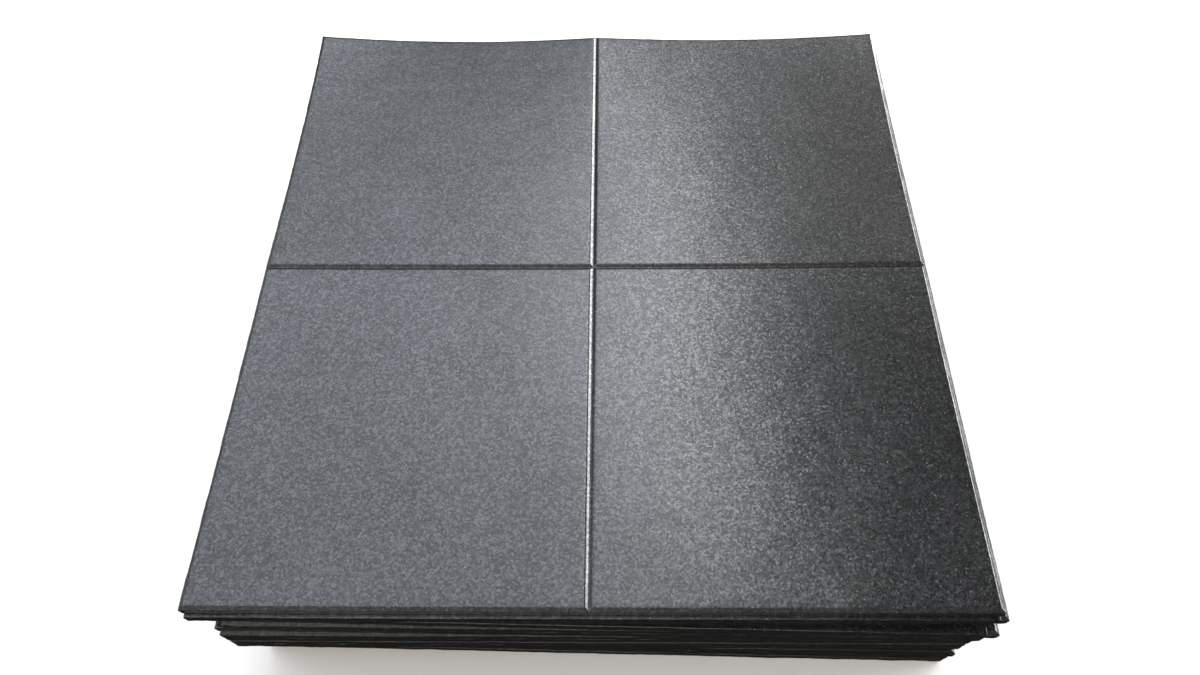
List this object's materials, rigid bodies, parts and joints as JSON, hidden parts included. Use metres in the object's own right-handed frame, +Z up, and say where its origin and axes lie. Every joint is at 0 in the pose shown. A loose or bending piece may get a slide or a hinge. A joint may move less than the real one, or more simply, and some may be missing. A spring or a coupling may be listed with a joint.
{
  "type": "stack of square rubber mats",
  "caption": "Free-standing stack of large square mats of bonded rubber granules, each face divided by a cross of V-grooves, with a bevelled rim and slightly curled rear corners on top.",
  "frame": {"origin": "On the floor, under the middle of the whole stack's bounding box.", "axes": "+Z is up through the stack. The stack's front faces -Y, and +X is to the right of a person who stands in front of it. The top mat's sides run along X and Y."},
  "size_m": [1.0374, 1.0274, 0.3162],
  "materials": {
    "granulate": "matte"
  },
  "bodies": {
    "mat_01": {"mat_01": "granulate"},
    "mat_02": {"mat_02": "granulate"},
    "mat_03": {"mat_03": "granulate"},
    "mat_04": {"mat_04": "granulate"},
    "mat_05": {"mat_05": "granulate"},
    "mat_06": {"mat_06": "granulate"},
    "mat_07": {"mat_07": "granulate"},
    "mat_08": {"mat_08": "granulate"},
    "mat_09": {"mat_09": "granulate"},
    "mat_10": {"mat_10": "granulate"},
    "mat_11": {"mat_11": "granulate"},
    "mat_12": {"mat_12": "granulate"},
    "mat_13": {"mat_13": "granulate"},
    "mat_14": {"mat_14": "granulate"},
    "mat_15": {"mat_15": "granulate"}
  },
  "joints": [
    {"name": "lift_mat_02", "type": "slide", "parent": "mat_01", "child": "mat_02", "axis": [0, 0, 1], "range_m": [0, 0.04]},
    {"name": "lift_mat_03", "type": "slide", "parent": "mat_02", "child": "mat_03", "axis": [0, 0, 1], "range_m": [0, 0.04]},
    {"name": "lift_mat_04", "type": "slide", "parent": "mat_03", "child": "mat_04", "axis": [0, 0, 1], "range_m": [0, 0.04]},
    {"name": "lift_mat_05", "type": "slide", "parent": "mat_04", "child": "mat_05", "axis": [0, 0, 1], "range_m": [0, 0.04]},
    {"name": "lift_mat_06", "type": "slide", "parent": "mat_05", "child": "mat_06", "axis": [0, 0, 1], "range_m": [0, 0.04]},
    {"name": "lift_mat_07", "type": "slide", "parent": "mat_06", "child": "mat_07", "axis": [0, 0, 1], "range_m": [0, 0.04]},
    {"name": "lift_mat_08", "type": "slide", "parent": "mat_07", "child": "mat_08", "axis": [0, 0, 1], "range_m": [0, 0.04]},
    {"name": "lift_mat_09", "type": "slide", "parent": "mat_08", "child": "mat_09", "axis": [0, 0, 1], "range_m": [0, 0.04]},
    {"name": "lift_mat_10", "type": "slide", "parent": "mat_09", "child": "mat_10", "axis": [0, 0, 1], "range_m": [0, 0.04]},
    {"name": "lift_mat_11", "type": "slide", "parent": "mat_10", "child": "mat_11", "axis": [0, 0, 1], "range_m": [0, 0.04]},
    {"name": "lift_mat_12", "type": "slide", "parent": "mat_11", "child": "mat_12", "axis": [0, 0, 1], "range_m": [0, 0.04]},
    {"name": "lift_mat_13", "type": "slide", "parent": "mat_12", "child": "mat_13", "axis": [0, 0, 1], "range_m": [0, 0.04]},
    {"name": "lift_mat_14", "type": "slide", "parent": "mat_13", "child": "mat_14", "axis": [0, 0, 1], "range_m": [0, 0.04]},
    {"name": "lift_mat_15", "type": "slide", "parent": "mat_14", "child": "mat_15", "axis": [0, 0, 1], "range_m": [0, 0.04]}
  ]
}
